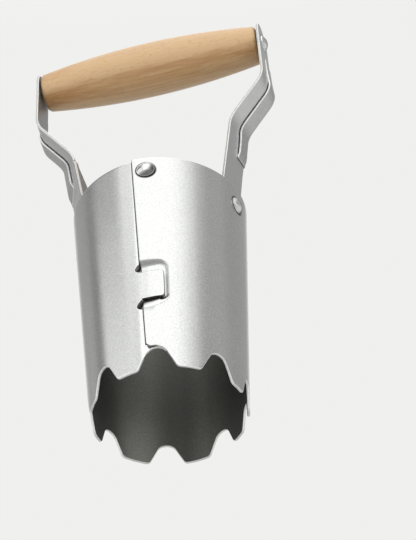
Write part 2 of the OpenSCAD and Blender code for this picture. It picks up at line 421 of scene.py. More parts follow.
def joint_shade(dark, light):
    """Painted shade for cut edges and corners of a joint, where little light reaches, with a fine mottle."""
    def build(tree, place):
        mottle = noise(place, 700, 3, 0.6)
        dark_colour = (dark, dark, dark * 0.94)
        light_colour = (light, light, light * 0.95)
        return {
            "Base Color": blended(tree, mottle.between(0.3, 0.75), dark_colour, light_colour),
            "Metallic": 0.5,
            "Roughness": mottle.between(0.2, 0.8, 0.5, 0.7),
        }
    return build


def polished(tree, place):
    """Polished rivet steel with faint marks, with painted shade toward its outline and away from its painted
    highlight.
    """
    marks = noise(place, 420, 3, 0.6)
    fine = noise(place, 2400, 2, 0.5, 4.0)
    # Painted shade toward the head's outline.
    tone = marks.between(0.25, 0.8, 0.64, 0.74) * facing_away(tree).between(0.45, 0.95, 1.0, 0.25)
    start, end = [d * MM for d in HIGHLIGHT_SHADE_REACH]
    # Painted shade on each front head away from its painted highlight.
    for azimuth, z, proud in PAINTED_HIGHLIGHTS:
        away = place.away_from(facing(azimuth, radius(z) + proud, z))
        on_this_head = away.between(0.0090, 0.0085)
        tone = tone * (1 - away.between(start, end) * on_this_head * 0.72)
    return {
        "Base Color": blended(tree, tone, BLACK, METAL_TINT),
        "Metallic": 1.0,
        "Roughness": 0.07 + marks.between(0.3, 0.8, 0.0, 0.08) + (fine - 0.5) * 0.03,
    }


def beech(tree, place):
    """Turned beech with its grain along X: a browner heart streak, fine fibre and short dark flecks, with
    painted sheen toward its outline and painted shade on its end faces.
    """
    here = place.shifted(GRAIN_SHIFT * MM, -GRIP_Y * MM, -GRIP_Z * MM)
    x, y, z = here.parts()
    wander = noise(here.scaled(14, 45, 45), 1.0, 3, 0.55)
    fibre = noise(here.scaled(34, 1000, 1000), 1.0, 4, 0.62, 1.3)
    band = noise(here.scaled(7, 130, 130), 1.0, 3, 0.55, 5.2)
    through = (y - z) * 707.0 + (wander - 0.5) * 9.0 + x * 40.0
    heart = through.between(-0.8, 1.6) * through.between(11.0, 6.0)
    short_fleck = noise(here.scaled(420, 2400, 2400), 1.0, 1, 0.5, 2.9).between(0.64, 0.72)
    long_fleck = noise(here.scaled(190, 1700, 1700), 1.0, 1, 0.5, 7.7).between(0.66, 0.74)
    late = 0.06 + (fibre - 0.5) * 0.95 + band.between(0.42, 0.74, 0.0, 0.42) + heart * 0.34
    wood = blended(tree, late.between(0.0, 1.0), BEECH_PALE, BEECH_DEEP)
    wood = blended(tree, (short_fleck * 0.38).most(long_fleck * 0.40), wood, BEECH_FLECK)
    # Painted sheen: paler toward the outline.
    wood = blended(tree, facing_away(tree).between(0.72, 1.0, 0.0, 0.5), wood, BEECH_GRAZING_SHEEN)
    # Painted shade on the grip's end faces, in the narrow gap to the straps.
    end_shade = abs(x - GRAIN_SHIFT * MM).between((GRIP_HALF - 0.4) * MM, (GRIP_HALF + 0.1) * MM)
    return {
        "Base Color": blended(tree, end_shade * 0.8, wood, BEECH_END_SHADE),
        "Roughness": 0.40 + (fibre - 0.5) * 0.16,
        "Normal": bumped(fibre + heart * 0.1, 0.10, 0.0001),
    }


SHEET_HEADS = [facing(a, radius(z) + proud, z) for _, a, z, proud, _ in RIVETS]
SHEET_OUT = finish_of("zinc_sheet", zinc(0.64, 0.19, heads=SHEET_HEADS))
SHEET_IN = finish_of("inside_shade_and_light", inside_shade_and_light)
EDGE = finish_of("sheared_edge", sheared_edge)
STRAP = finish_of("zinc_strap", zinc(0.60, 0.33, 0.6, heads=ROD_HEADS))
# A darker copy of the zinc, painted shade: the strap's inner face, and on the tube the cuts at the tongue's
# end and the lap's foot and the sunk recesses by the tongue.
SHADED_ZINC = finish_of("shaded_zinc", zinc(0.38, 0.42, 0.6))
HEM = finish_of("zinc_hem", zinc(0.50, 0.40, 0.6))
HEM_CUT = finish_of("hem_cut", hem_cut)
FLANGE_SHADE = finish_of("flange_shade", flange_shade)
CUT = finish_of("grey_cut", grey_cut)
# Painted shade: near black in the gaps, dark grey along the seam.
GAP = finish_of("dark_gap", joint_shade(0.03, 0.085))
SEAM = finish_of("seam_shade", joint_shade(0.09, 0.17))
POLISHED = finish_of("polished_steel", polished)
BEECH = finish_of("beech", beech)


# Making pieces


def make_active(piece):
    clear_selection()
    piece.select_set(True)
    bpy.context.view_layer.objects.active = piece


def clear_selection():
    if bpy.context.object and bpy.context.object.mode != "OBJECT":
        bpy.ops.object.mode_set(mode="OBJECT")
    bpy.ops.object.select_all(action="DESELECT")


def flat_blank(name, columns, rows):
    """A flat grid of columns x rows cells, whose vertices are read back as (column, row)."""
    clear_selection()
    bpy.ops.mesh.primitive_grid_add(x_subdivisions=columns, y_subdivisions=rows, size=1)
    piece = bpy.context.object
    piece.name = piece.data.name = name
    spots = [(round((v.co.x + 0.5) * columns), round((v.co.y + 0.5) * rows)) for v in piece.data.vertices]
    return piece, spots


def cut_cells(piece, spots, unwanted):
    """Deletes the cells for which unwanted(column, row), counted at their low corner, is true."""
    mesh = piece.data
    for p in mesh.polygons:
        c = min(spots[i][0] for i in p.vertices)
        r = min(spots[i][1] for i in p.vertices)
        p.select = unwanted(c, r)
    kept = mesh.attributes.new("spot", "INT32_2D", "POINT")
    for i, s in enumerate(spots):
        kept.data[i].value = s
    edit(piece, lambda: bpy.ops.mesh.delete(type="FACE"), keep_selection=True)
    spots = [tuple(d.value) for d in piece.data.attributes["spot"].data]
    piece.data.attributes.remove(piece.data.attributes["spot"])
    return spots


def edit(piece, work, keep_selection=False):
    """Runs work in edit mode on the piece, with everything in it selected unless told otherwise."""
    chosen = [p.select for p in piece.data.polygons] if keep_selection else None
    make_active(piece)
    if chosen:
        for v in piece.data.vertices:
            v.select = False
        for e in piece.data.edges:
            e.select = False
        for p, c in zip(piece.data.polygons, chosen):
            p.select = c
    bpy.ops.object.mode_set(mode="EDIT")
    bpy.ops.mesh.select_mode(type="FACE")
    if not keep_selection:
        bpy.ops.mesh.select_all(action="SELECT")
    work()
    bpy.ops.object.mode_set(mode="OBJECT")


def set_points(piece, points):
    for v, p in zip(piece.data.vertices, points):
        v.co = Vector(p) * MM
    piece.data.update()


def modify(piece, kind, **settings):
    make_active(piece)
    m = piece.modifiers.new(kind.lower(), kind)
    for key, value in settings.items():
        setattr(m, key, value)
    bpy.ops.object.modifier_apply(modifier=m.name)


def mark(piece, name, values):
    """Marks the vertices, for the finishes to read."""
    marks = piece.data.attributes.new(name, "FLOAT", "POINT")
    for i, value in enumerate(values):
        marks.data[i].value = value
    return marks


# Places in a sheet metal piece's list of finishes. From the fifth on, the tube and the straps differ.
OUTSIDE, INSIDE, RIM, EASED = range(4)
TUBE_GAP, TUBE_SEAM, TUBE_SHADED = range(4, 7)
HEM_SHADOW, HEM_FACE, HEM_EDGE, FLANGE_SHADED = range(4, 8)
EASING = 0.2            # width of the eased edges


def sheet_metal(piece, thickness, finishes, offset=-1.0):
    """Gives a shaped blank its thickness, an inside and a rim finish, and eased edges."""
    for finish in finishes:
        piece.data.materials.append(finish)
    modify(piece, "SOLIDIFY", thickness=thickness * MM, offset=offset, use_even_offset=True,
           use_rim=True, material_offset=INSIDE, material_offset_rim=RIM)
    modify(piece, "BEVEL", width=EASING * MM, segments=2, limit_method="ANGLE", angle_limit=radians(50),
           use_clamp_overlap=False, material=EASED)


def refinish(piece, finish, where, now):
    """Gives a finish to the faces that have one of those in now and whose middle answers where(x, y, z)."""
    for p in piece.data.polygons:
        if p.material_index in now and where(*(p.center / MM)):
            p.material_index = finish


def dressed(piece, slot, body, stands_for, *finishes, smooth=35):
    """Last steps of every piece: finishes, smooth shading, and its place in the frame."""
    for finish in finishes:
        piece.data.materials.append(finish)
    make_active(piece)
    bpy.ops.object.shade_smooth_by_angle(angle=radians(smooth))
    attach(piece, body)
    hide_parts(stands_for)


def turned(name, outline, facets, open_bore=False):
    """Turned about +Z from an outline of (radius, height): a circle, extruded and scaled ring by ring."""
    clear_selection()
    r0, z0 = outline[0]
    bpy.ops.mesh.primitive_circle_add(vertices=facets, radius=r0 * MM, location=(0, 0, z0 * MM),
                                      fill_type="NOTHING" if open_bore else "NGON", enter_editmode=True)
    piece = bpy.context.object
    piece.name = piece.data.name = name
    bpy.ops.mesh.select_all(action="SELECT")
    extrude = bpy.ops.mesh.extrude_edges_move if open_bore else bpy.ops.mesh.extrude_region_move
    for (ra, za), (rb, zb) in zip(outline, outline[1:]):
        extrude(TRANSFORM_OT_translate={"value": (0, 0, (zb - za) * MM)})
        bpy.ops.transform.resize(value=(rb / ra, rb / ra, 1), center_override=(0, 0, zb * MM))
    bpy.ops.object.mode_set(mode="OBJECT")
    if open_bore:
        edit(piece, lambda: bpy.ops.mesh.remove_doubles(threshold=0.00001))
    edit(piece, lambda: bpy.ops.mesh.normals_make_consistent(inside=False))
    make_active(piece)
    bpy.ops.object.transform_apply(location=True, rotation=True, scale=True)
    return piece


def stood(piece, to_place):
    """Moves a finished mesh to its place, with the object left at the origin."""
    piece.data.transform(to_place)
    piece.data.update()


# The rolled tube


def gullet_line(half):
    """Half outline of one gullet from its round top to the tooth tip: (distance from its middle, height)."""
    corner = TOOTH_CORNER if half > WIDE_GULLET else NARROW_CORNER
    top = half * GULLET_ROUND
    centre = GULLET_DEPTH - top
    lean = atan2(corner - centre, half) + acos((top + corner) / hypot(half, corner - centre))
    line = [(top * cos(a), centre + top * sin(a)) for a in steps(pi / 2, lean, 8)]
    end = (half - corner * cos(lean), corner - corner * sin(lean))
    line += [(mix(line[-1][0], end[0], k), mix(line[-1][1], end[1], k)) for k in (0.33, 0.67)]
    line += [(half + corner * cos(a), corner + corner * sin(a)) for a in steps(pi + lean, pi * 1.5, 5)]
    return line


def foot_line():
    """The toothed lower edge as (azimuth, height), once round from the seam and on under the lap."""
    line = []
    again_under_lap = (GULLETS[0][0] + 360, GULLETS[0][1])
    for middle, half in GULLETS + [again_under_lap]:
        side = gullet_line(half)
        spots = [(middle + degrees(asin(d / FOOT_RADIUS)) * s, z)
                 for s, some in ((-1, side[:0:-1]), (1, side)) for d, z in some]
        if line:
            a = line[-1][0]
            b = spots[0][0]
            line += [(tip, 0.0) for tip in steps(a, b, max(int((b - a) / 2.5), 2))[1:-1]]
        line += spots
    return line


def height_at(line, azimuth):
    """Height of the toothed edge at an azimuth."""
    for (a, p), (b, q) in zip(line, line[1:]):
        if a <= azimuth <= b:
            return mix(p, q, (azimuth - a) / max(b - a, 1e-9))
    return 0.0


def lap_bottom(x):
    """Lower edge of the lapping corner: flat over the first gullet, rounded at both ends."""
    if x < LAP_CORNER:
        return LAP_FOOT + round_off(LAP_CORNER, LAP_CORNER - x)
    if x < LAP_FLAT:
        return LAP_FOOT
    return LAP_FOOT - round_off(LAP_SWEEP, x - LAP_FLAT) if x < LAP_FLAT + LAP_SWEEP else 0.0


def lap_radius(azimuth, z):
    """Outer face of the lapping end, which is curved wider and shifted so that it meets the round."""
    t = radians(azimuth - LAP_START)
    r = radius(z) + LAP_RISE
    return sqrt(r * r - (LAP_RISE * sin(t)) ** 2) - LAP_RISE * cos(t)


def lap_edge(z):
    """Where the edge of the lapping end lies at a height: millimetres round the tube from the seam."""
    return SEAM_LEAN * z / TUBE_HEIGHT


def pocket(azimuth, z):
    """How far the pocket under the tongue is pushed in, from 0 to 1."""
    x = radians(azimuth) * radius(40)
    low = POCKET_LOW + POCKET_LIFT * ease(2, 10, x)
    middle = (POCKET_TOP + low) / 2
    past_right = x - (POCKET_RIGHT - POCKET_CORNER)
    past_height = abs(z - middle) - ((POCKET_TOP - low) / 2 - POCKET_CORNER)
    if past_right > 0 and past_height > 0:
        reach = hypot(past_right, past_height)
        side, up = past_right / reach, past_height / reach
    else:
        reach = max(past_right, past_height)
        side, up = (1, 0) if past_right > past_height else (0, 1)
    slope_upright = POCKET_TOP_SLOPE if z > middle else POCKET_LOW_SLOPE
    slope = POCKET_SIDE_SLOPE * side * side + slope_upright * up * up
    share = min(max((POCKET_CORNER - reach) / slope, 0), 1)
    return mix(ease(0, 1, share), share, 0.7 * up * up) if z < middle else ease(0, 1, share)


def notch_cut(z):
    """Depth of the relief notches into the left edge at a height."""
    for centre in (TONGUE_LOW - NOTCH, TONGUE_HIGH + NOTCH):
        if abs(z - centre) < NOTCH:
            up = (z - centre) / NOTCH
            return NOTCH_DEPTH * sqrt(1 - up * up) * (1 - NOTCH_DROOP * up)
    return 0.0


def lap_point(a, z):
    """A point of the lapping end, with the pocket pushed into it."""
    if a < LAP_EVEN:
        seam = degrees(asin(lap_edge(z) / radius(z)))
        a = mix(seam, LAP_EVEN, a / LAP_EVEN)
    pressed_in = radius(z) - mix(*POCKET_FLOOR, max(a, 0) / POCKET_END)
    return facing(a, mix(lap_radius(a, z), pressed_in, pocket(a, z)), z)


def tongue_point(a, z):
    """A point of the tongue, which comes out from the left edge over the pocket and rises a little."""
    to_corner = TONGUE_CORNER - min(z - TONGUE_LOW, TONGUE_HIGH - z, TONGUE_CORNER)
    reach = TONGUE_REACH - degrees(round_off(TONGUE_CORNER, to_corner) / radius(z))
    out = (a - 360) / TAB_REACH * reach
    return facing(360 + out, radius(z) + out / POCKET_END * TONGUE_RISE, z)


def tab_point(a, z):
    """A point of the left edge under the lap, let in, and more so behind the pocket."""
    edge = 360 + degrees(min(lap_edge(z), -notch_cut(z)) / radius(z))
    if z < TONGUE_LOW:
        sunk = ease(LOW_NOTCH - 0.7, LOW_NOTCH + 2.1, z)
    else:
        sunk = ease(HIGH_NOTCH + 1.2, HIGH_NOTCH - 1.8, z)
    a = mix(edge, 360 + TAB_REACH, (a - TAB_START) / (360 + TAB_REACH - TAB_START))
    return facing(a, radius(z) - mix(TAB_DIP, TAB_SUNK, sunk), z)


def near_seam_point(a, z):
    """A point of the left edge in sight, which follows the seam and the notches and dips to the lap."""
    edge = 360 + degrees(min(lap_edge(z), -notch_cut(z)) / radius(z))
    beside = edge - degrees(SEAM_SHADE / radius(z))
    a = edge if a == 360 else mix(NEAR_EDGE, beside, (a - NEAR_EDGE) / (359 - NEAR_EDGE))
    dip = 1 - ease(LOW_NOTCH, TONGUE_LOW, z) + ease(TONGUE_HIGH, HIGH_NOTCH, z)
    return facing(a, radius(z) - TAB_DIP * dip * ease(356, 359.6, a), z)


def tube_columns(line):
    """Azimuths of the blank's columns: lap, round, edge near the seam, and tab under the lap."""
    lap = steps(0, LAP_EVEN, 27) + [a for a, _ in line if LAP_EVEN + 0.5 < a <= LAP_START]
    whole = [a for a, _ in line if LAP_START < a < NEAR_EDGE - 0.5]
    near = steps(NEAR_EDGE, 359, 12) + [360]
    tab = [360.4] + steps(361.2, 360 + TAB_REACH, 14)
    return lap + whole + near + tab


def tube_levels():
    """Heights of the blank's level rows, close together at the notches and the tongue's corners."""
    def notch(low):
        return [low + NOTCH - NOTCH * cos(a) for a in steps(0, pi, 9)]

    closer = (0.25, 0.7, 1.25)
    below = [FIRST_LEVEL, 16, 19, 22, 24.6, 26.4, *notch(LOW_NOTCH)[:-1]]
    tongue = [TONGUE_LOW, *(TONGUE_LOW + d for d in closer), *steps(TONGUE_LOW + 1.9, TONGUE_HIGH - 1.9, 14),
              *(TONGUE_HIGH - d for d in closer[::-1]), TONGUE_HIGH]
    above = [*notch(TONGUE_HIGH)[1:], 53.6, 54.3, 55.2, 57, 61, 66, 72, 78, 84, 90, 95, 99, 103, 106, 108,
             TUBE_HEIGHT]
    return below + tongue + above


def painted_pocket_shade(azimuth, z):
    """Painted shade in the pocket: at its top, and below the tongue in a line and deep in."""
    share = pocket(azimuth, z)
    if z < TONGUE_LOW:
        outer_line = ease(0, 0.03, share) * ease(0.16, 0.05, share)
        return 0.6 * max(outer_line, ease(0.25, 0.7, share))
    return 4 * share * (1 - share) * mix(0.16, 0.8, ease(48, 51, z))


def make_tube():
    line = foot_line()
    columns = tube_columns(line)
    levels = tube_levels()
    to_teeth = [0, 0.10, 0.25, 0.48, 0.73]      # shares of the way from the teeth up to the first level
    first_level = len(to_teeth)
    tongue_low = first_level + levels.index(TONGUE_LOW)
    tongue_high = first_level + levels.index(TONGUE_HIGH)
    first_tab = columns.index(360)

    piece, spots = flat_blank("rolled_tube", len(columns) - 1, first_level + len(levels) - 1)

    def in_gap(c, r):
        return c >= first_tab and r in (tongue_low - 1, tongue_high)

    spots = cut_cells(piece, spots, in_gap)

    def height(a, r):
        if r >= first_level:
            return levels[r - first_level]
        bottom = height_at(line, a)
        if a <= LAP_START:
            bottom = max(bottom, lap_bottom(radians(a) * FOOT_RADIUS))
        return mix(bottom, FIRST_LEVEL, to_teeth[r])

    def place(c, r):
        a = columns[c]
        z = height(a, r)
        if a <= LAP_START:
            return lap_point(a, z)
        if a <= NEAR_EDGE:
            return facing(a, radius(z), z)
        if a <= 360:
            return near_seam_point(a, z)
        if tongue_low <= r <= tongue_high:
            return tongue_point(a, z)
        return tab_point(a, z)

    # Painted shade in the pocket, carried as a mark on the vertices.
    def pressed(c, r):
        in_lap = r >= first_level and columns[c] <= LAP_START
        return painted_pocket_shade(columns[c], levels[r - first_level]) if in_lap else 0.0

    set_points(piece, [place(c, r) for c, r in spots])
    edit(piece, lambda: bpy.ops.mesh.normals_make_consistent(inside=False))
    if faces_out(piece) < 0:
        edit(piece, bpy.ops.mesh.flip_normals)
    mark(piece, "pressed", [pressed(c, r) for c, r in spots])
    sheet_metal(piece, SHEET, (SHEET_OUT, SHEET_IN, EDGE, EDGE, GAP, SEAM, SHADED_ZINC))
    finish_joint(piece)
    dressed(piece, "sheet", "body", "tube")


def faces_out(piece):
    """Above 0 when the faces mostly look away from the tube's axis."""
    return sum(p.area * (p.normal.x * p.center.x + p.normal.y * p.center.y) for p in piece.data.polygons)


def finish_joint(piece):
    """Finishes of the faces at the seam, the tongue and the pocket, by their place: painted shade along the
    seam, under the tongue and in the joint's cuts and recesses.
    """
    cuts = (RIM, EASED, TUBE_GAP, TUBE_SEAM, TUBE_SHADED)

    def at_tongue_end(x, y, z):
        return 7.5 < x < 12.5 and y < 0 and TONGUE_LOW + 0.4 < z < TONGUE_HIGH + 0.2

    def in_joint(x, y, z):
        return abs(x) < 12.5 and y < 0 and LAP_FOOT + 0.25 < z < TUBE_HEIGHT - 0.5

    def under_tongue(x, y, z):
        return -1 < x < 9 and y < 0 and TONGUE_LOW - 0.5 < z < TONGUE_LOW + 0.4

    def along_seam(x, y, z):
        beside = atan2(x, -y) * radius(z) - lap_edge(z)
        clear = z < TONGUE_LOW - NOTCH or z > TONGUE_HIGH + NOTCH
        return -SEAM_SHADE < beside < 0.24 and clear and LAP_FOOT + 1.6 < z < TUBE_HEIGHT - 0.4

    def at_lap_foot(x, y, z):
        return -1 < x < 4.2 and 9.7 < z < 12 and hypot(x, y) > radius(z) + 0.05

    def lanced(x, y, z):
        return in_joint(x, y, z) and hypot(x, y) < radius(z) - 1.2

    refinish(piece, TUBE_SHADED, at_tongue_end, (RIM,))
    refinish(piece, TUBE_SEAM, in_joint, (RIM, EASED))
    refinish(piece, TUBE_GAP, under_tongue, cuts)
    refinish(piece, TUBE_SEAM, along_seam, (OUTSIDE, INSIDE, *cuts))
    refinish(piece, TUBE_SHADED, at_lap_foot, (RIM,))
    refinish(piece, TUBE_SHADED, lanced, (OUTSIDE,))


# The straps. A station is a place down the strap: on its round end, a run, a bend or the foot.


def plane_line(p, m, q, n, y):
    """The point at y on the line shared by two planes, each given by a point and its normal."""
    a = m.dot(p) - m.y * y
    b = n.dot(q) - n.y * y
    d = m.x * n.z - m.z * n.x
    return Vector(((a * n.z - b * m.z) / d, y, (m.x * b - n.x * a) / d))


def strap_corners(side):
    """Corners down the outer face, and last the foot's azimuths, for a share across the strap's width."""
    rim_radius = radius(TUBE_HEIGHT) - SHEET - 0.05
    foot = [facing(a, rim_radius, TUBE_HEIGHT) for a in FOOT_SPAN[side]]
    low_x, low_z = LOW_BEND[side]
    low_out = (foot[1] - foot[0]).cross(Vector((low_x, NEAR_Y, low_z)) - foot[0]).normalized()
    if low_out.x < 0:
        low_out = -low_out
    run_out = Vector((TOP_FAR - TOP_NEAR, STRAP_WIDTH, 0)).cross(RUN_WAY).normalized()
    run_down = -RUN_WAY.normalized()
    top = Vector(((TOP_NEAR + TOP_FAR) / 2, GRIP_Y, BEND_Z))

    def corners(w):
        x = mix(TOP_NEAR, TOP_FAR, w)
        y = mix(NEAR_Y, FAR_Y, w)
        low = plane_line(top, run_out, foot[0], low_out, y) + run_down * (FAR_DROP[side] * w)
        rim = foot[0].lerp(foot[1], w)
        slope = (rim - low) / (low.z - rim.z)
        return [Vector((x, y, TOP_ROUND_Z[side])), Vector((x, y, BEND_Z)), low, rim + slope * -3,
                rim + slope * 1.0, FOOT_SPAN[side]]
    return corners


def strap_stations():
    """Stations down the strap: (round, angle), (run or bend, number, share down it) and (foot, height)."""
    ends = [("round", a) for a in (88, 80, 70, 58, 45, 30, 14)]
    runs = [("run", 0, k) for k in (0.0, 0.12, 0.3, 0.45, 0.6, 0.75, 0.88)]
    runs += [("bend", 1, k) for k in steps(0, 1, 8)]
    runs += [("run", 1, k) for k in (0.15, 0.35, 0.5, 0.65, 0.85)]
    runs += [("bend", 2, k) for k in steps(0, 1, 8)]
    runs += [("run", 2, k) for k in steps(0, 1, 14)[1:]]
    foot = [("foot", z) for z in (107.5, 105.5, 103, 100.5, 97.5, 94, 90.5, 88, 87.2)]
    return ends + runs + foot


def strap_point(corners, station, w):
    """A point of the outer face at a station, for a share across the width."""
    kind = station[0]
    if kind == "round":
        a = radians(station[1])
        return corners(0.5 + (w - 0.5) * cos(a))[0] + Vector((0, 0, STRAP_WIDTH / 2 * sin(a)))
    spots = corners(w)
    if kind == "run":
        i, k = station[1:]
        way = (spots[i + 1] - spots[i]).normalized()
        p = spots[i] + way * BEND_REACH[i]
        q = spots[i + 1] - way * (BEND_REACH[i + 1] if i < 2 else 0)
        return p.lerp(q, k)
    if kind == "bend":
        i, k = station[1:]
        p = spots[i] + (spots[i - 1] - spots[i]).normalized() * BEND_REACH[i]
        q = spots[i] + (spots[i + 1] - spots[i]).normalized() * BEND_REACH[i]
        return p.lerp(spots[i], k).lerp(spots[i].lerp(q, k), k)
    z = station[1]
    wall = facing(mix(*spots[5], w), radius(z) - SHEET - 0.08, z)
    chord = spots[3] + (spots[4] - spots[3]) / 4 * (spots[3].z - z)
    return chord.lerp(wall, ease(111, 101, z))


def surface_frame(corners, stations, row, w):
    """Point, outward normal and the way toward the far edge, on the strap's outer face."""
    def at(r, share):
        return strap_point(corners, stations[r], share)

    far = (at(row, min(w + 0.05, 1)) - at(row, max(w - 0.05, 0))).normalized()
    down = at(min(row + 1, len(stations) - 1), w) - at(max(row - 1, 0), w)
    out = down.cross(far).normalized()
    return at(row, w), -out if out.x < 0 else out, far


def strap_section(side):
    """Columns across the strap: the left foot's flange, the flat, the fold, and the hem over the flat."""
    flange = [("flange", k) for k in (1.0, 0.7, 0.4, FLANGE_ROOT)] if side == LEFT else []
    flat = [("flat", w) for w in (0, 0.06, 0.2, 0.35, 0.5, 0.65, 0.8, 0.92, 0.97)]
    fold = [("fold", a) for a in (-60, -30, 0, 30, 60)]
    hem = [("hem", w) for w in (0.97, 0.9, 0.78, 0.64, 0.52)]
    return flange + flat + fold + hem


def flange_width(z):
    """The flange starts as a narrow lip at the lower bend and widens downwards."""
    return 0.3 + 1.3 * ease(150, 138, z) + 5.6 * min(max((138 - z) / 29, 0), 1)


def kept_inside(p):
    """Below the rim the sheet stays clear of the tube's wall."""
    room = radius(p.z) - SHEET - 0.72 + max(p.z - TUBE_HEIGHT, 0) * 2
    over = hypot(p.x, p.y) / room
    return Vector((p.x / over, p.y / over, p.z)) if over > 1 else p


def make_strap(side):
    name = "right_strap" if side == RIGHT else "left_strap"
    corners = strap_corners(side)
    stations = strap_stations()
    section = strap_section(side)
    kinds = [kind for kind, _ in section]
    first_flat = kinds.index("flat")
    first_fold = kinds.index("fold")
    hem_first = stations.index(("run", 0, 0.45))
    hem_last = next(i for i, s in enumerate(stations) if s[:2] == ("run", 2) and s[2] > 0.62)
    flange_first = next(i for i, s in enumerate(stations) if s[:2] == ("run", 2))
    flange_last = stations.index(("foot", 103))
    hem_run = stations[hem_last][2]
    inner_end, fold_end = (0.43, 0.445) if side == RIGHT else (0.47, hem_run)
    half = STRAP_SHEET / 2 - 0.05

    piece, spots = flat_blank(name, len(section) - 1, len(stations) - 1)

    def unwanted(c, r):
        if c >= first_fold - 1:
            return not hem_first <= r < hem_last
        return c < first_flat and not flange_first <= r < flange_last

    spots = cut_cells(piece, spots, unwanted)

    def flange_point(r, share):
        p, out, far = surface_frame(corners, stations, r, 0.0)
        width = flange_width(p.z)
        back = far * sin(FLANGE_TURN) - out * cos(FLANGE_TURN)
        return p - out * half + back * (min(0.25, width * 0.2) if share == FLANGE_ROOT else width * share)

    def lift(r):
        """How high the hem lies, tapered at both ends of it."""
        lower = mix(HEM_LIFT[side], 1, ease(hem_last, hem_last - 2.5, r))
        upper = mix(-0.6, 1, ease(hem_first - 0.2, hem_first + 7, r))
        return half * lower * upper

    def hem_point(r, w):
        w = mix(w, 1, HEM_NARROWING[side] * ease(flange_first - 6, flange_first + 3, r))
        p, out, _ = surface_frame(corners, stations, r, w)
        if stations[r][:2] == ("run", 2):
            end = mix(inner_end, fold_end, max(w - 0.5, 0) / 0.5)
            p = strap_point(corners, ("run", 2, stations[r][2] * end / hem_run), w)
        return p + out * lift(r)

    def fold_point(r, angle):
        p, out, far = surface_frame(corners, stations, r, 1.0)
        if stations[r][:2] == ("run", 2):
            p = strap_point(corners, ("run", 2, stations[r][2] * fold_end / hem_run), 1.0)
        t = radians(angle)
        return p + out * mix(-half, lift(r), (sin(t) + 1) / 2) + far * (half * cos(t) - half)

    def place(c, r):
        kind, value = section[c]
        if kind == "flat":
            p, out, _ = surface_frame(corners, stations, r, value)
            return p - out * half
        return {"flange": flange_point, "hem": hem_point, "fold": fold_point}[kind](r, value)

    points = [kept_inside(place(c, r)) for c, r in spots]
    set_points(piece, [(p.x * side, p.y, p.z) for p in points])
    for p in piece.data.polygons:
        column = min(spots[i][0] for i in p.vertices)
        if column < first_flat:
            p.material_index = EASED if column == first_flat - 1 else FLANGE_SHADED
    if top_faces_out(piece, side) < 0:
        edit(piece, bpy.ops.mesh.flip_normals)
    sheet_metal(piece, STRAP_SHEET - 0.1, (STRAP, SHADED_ZINC, CUT, EDGE, GAP, HEM, HEM_CUT, FLANGE_SHADE),
                offset=0.0)
    finish_hem(piece, side)
    dressed(piece, "strap", "body", name)


def top_faces_out(piece, side):
    """Above 0 when the faces near the strap's top look outwards."""
    return sum(p.normal.x * side * p.area for p in piece.data.polygons if p.center.z > 0.2)


def finish_hem(piece, side):
    """Gives the hem's face and its cut edge their finishes, with painted shadow where the cut lies on the
    strap.
    """
    shadowed_points = set()
    low, high = [z * MM for z in HEM_ZONE]
    for p in piece.data.polygons:
        if p.center.y < (NEAR_Y + 5) * MM or not low < p.center.z < high:
            continue
        if p.material_index == INSIDE and p.normal.x * side > -0.5:
            p.material_index = HEM_FACE
        if p.normal.y > 0.5:
            continue
        lies_on = p.normal.x * side < -0.1
        slanted_end = side == RIGHT and p.normal.z < -0.3 and p.center.z < 0.134
        # Where the hem's cut lies on the strap, its eased edge gets the near-black painted shadow.
        if p.material_index == EASED and (lies_on or slanted_end):
            p.material_index = HEM_SHADOW if lies_on else HEM_FACE
            shadowed_points.update(p.vertices)
        elif p.material_index == RIM:
            p.material_index = HEM_EDGE
    mark(piece, "crease", [float(i in shadowed_points) for i in range(len(piece.data.vertices))])


# Rivets, rod and grip


def dome_outline(r, h):
    """From the rim of a dome of radius r and height h nearly to its pole: (radius, height)."""
    ball = (r * r + h * h) / (2 * h)
    return [(ball * sin(a), ball * cos(a) - (ball - h)) for a in steps(asin(r / ball), 0.04, 9)]


def rivet_outline(depth):
    """Flat clenched head inside, shank, rimmed and domed head outside."""
    clenched = [(2.7, -0.78), (3.05, -0.72), (3.2, -0.5), (3.2, -0.1), (3.05, 0.05), (2.0, 0.08)]
    rim = [(2.0, -0.3), (3.6, -0.3), (3.93, -0.18), (HEAD, 0.05), (3.96, 0.28), (3.78, 0.4), (3.66, 0.43)]
    dome = [(r, 0.43 + h) for r, h in dome_outline(3.55, 1.62)]
    return [(r, h - depth) for r, h in clenched] + rim + dome


def on_wall(azimuth, z, proud):
    """Stands a piece on the tube's wall, +Z outwards."""
    out = facing(azimuth) * cos(WALL_TILT) + Vector((0, 0, -sin(WALL_TILT)))
    side = facing(azimuth + 90)
    up = out.cross(side)
    turn = Matrix((side, up, out)).transposed().to_4x4()
    return Matrix.Translation((facing(azimuth, radius(z) + proud, z)) * MM) @ turn


def make_rivet(name, azimuth, z, proud, depth):
    piece = turned(name + "_dressed", rivet_outline(depth), facets=48)
    stood(piece, on_wall(azimuth, z, proud))
    dressed(piece, "rivet", "body", name, POLISHED)


def along_grip():
    """Turns +Z to +X and sets the middle on the grip's axis."""
    return Matrix.Translation(Vector((0, GRIP_Y, GRIP_Z)) * MM) @ Matrix.Rotation(pi / 2, 4, "Y")


def make_rod():
    head = [(HEAD, 0.0), (HEAD, 0.55), (3.86, 0.82), (3.7, 0.95)]
    head += [(r, 0.97 + h) for r, h in dome_outline(3.6, 1.6)]
    half = [(ROD, 0.0), (ROD, ROD_SEAT)] + [(r, ROD_SEAT + h) for r, h in head]
    outline = [(r, -z) for r, z in half[::-1]] + half[1:]
    piece = turned("grip_rod_dressed", outline, facets=48)
    stood(piece, along_grip())
    dressed(piece, "rivet", "body", "grip_rod", POLISHED)


